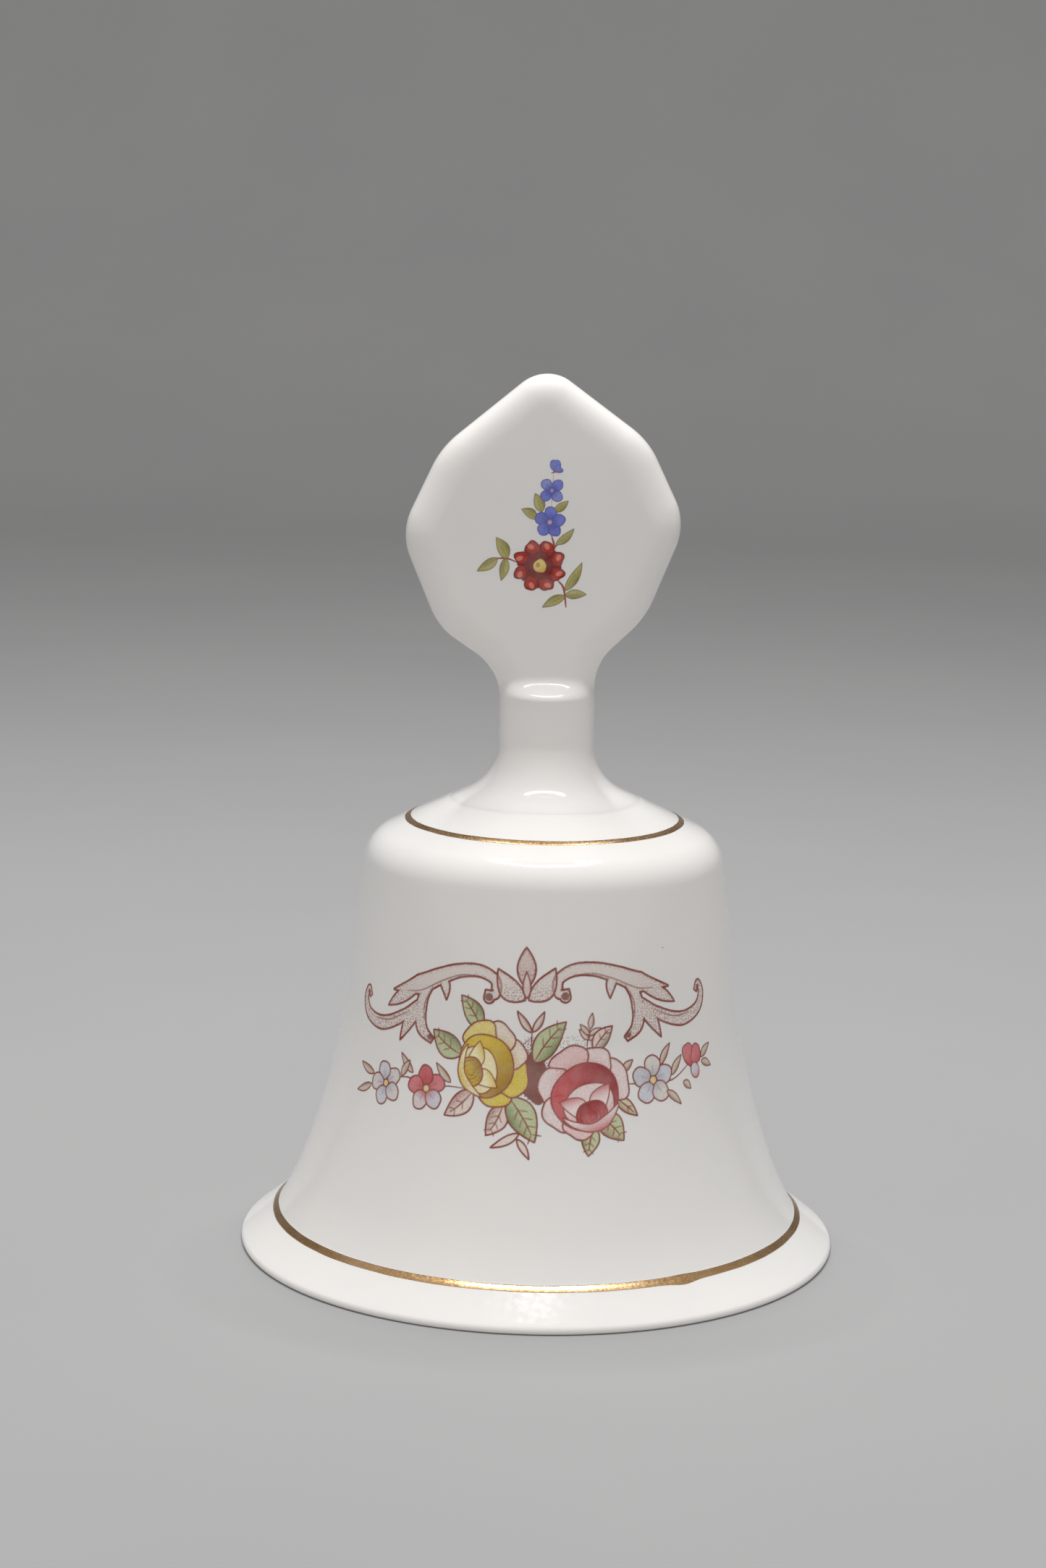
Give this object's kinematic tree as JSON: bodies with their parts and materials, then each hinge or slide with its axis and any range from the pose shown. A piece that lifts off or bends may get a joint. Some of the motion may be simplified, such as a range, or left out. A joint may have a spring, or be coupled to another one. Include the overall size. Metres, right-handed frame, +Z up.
{
  "type": "porcelain table bell",
  "caption": "Footed porcelain hand bell with a flat paddle handle, gilt bands and a ball clapper hung on wire links inside.",
  "frame": {"origin": "centre of the ring that the rim rests on", "axes": "+Z up along the bell's axis, -Y out of the decorated face of the handle, +X to the right of someone facing it"},
  "size_m": [0.0892, 0.0892, 0.13],
  "materials": {
    "body_glaze": "gloss",
    "handle_glaze": "gloss",
    "ball_glaze": "gloss",
    "plaster": "matte",
    "brass_wire": "satin",
    "gilding": "gloss",
    "printed_enamel": "gloss"
  },
  "bodies": {
    "bell": {"bell_shell": "body_glaze", "handle": "handle_glaze", "hanger_plug": "plaster", "hanger_eye": "brass_wire"},
    "ring": {"swing_ring": "brass_wire"},
    "clapper": {"clapper_rod": "brass_wire", "ball_stop": "brass_wire"},
    "ball": {"clapper_ball": "ball_glaze"}
  },
  "joints": [
    {"name": "clapper_swing", "type": "hinge", "parent": "bell", "child": "ring", "pos_m": [0, 0, 0.0595], "axis": [1, 0, 0], "range_deg": [-30, 30]},
    {"name": "clapper_sway", "type": "hinge", "parent": "ring", "child": "clapper", "pos_m": [0, 0, 0.05558], "axis": [0, 1, 0], "range_deg": [-10, 10]},
    {"name": "ball_spin", "type": "hinge", "parent": "clapper", "child": "ball", "pos_m": [0, 0, 0.019], "axis": [0, 0, 1], "continuous": true}
  ]
}
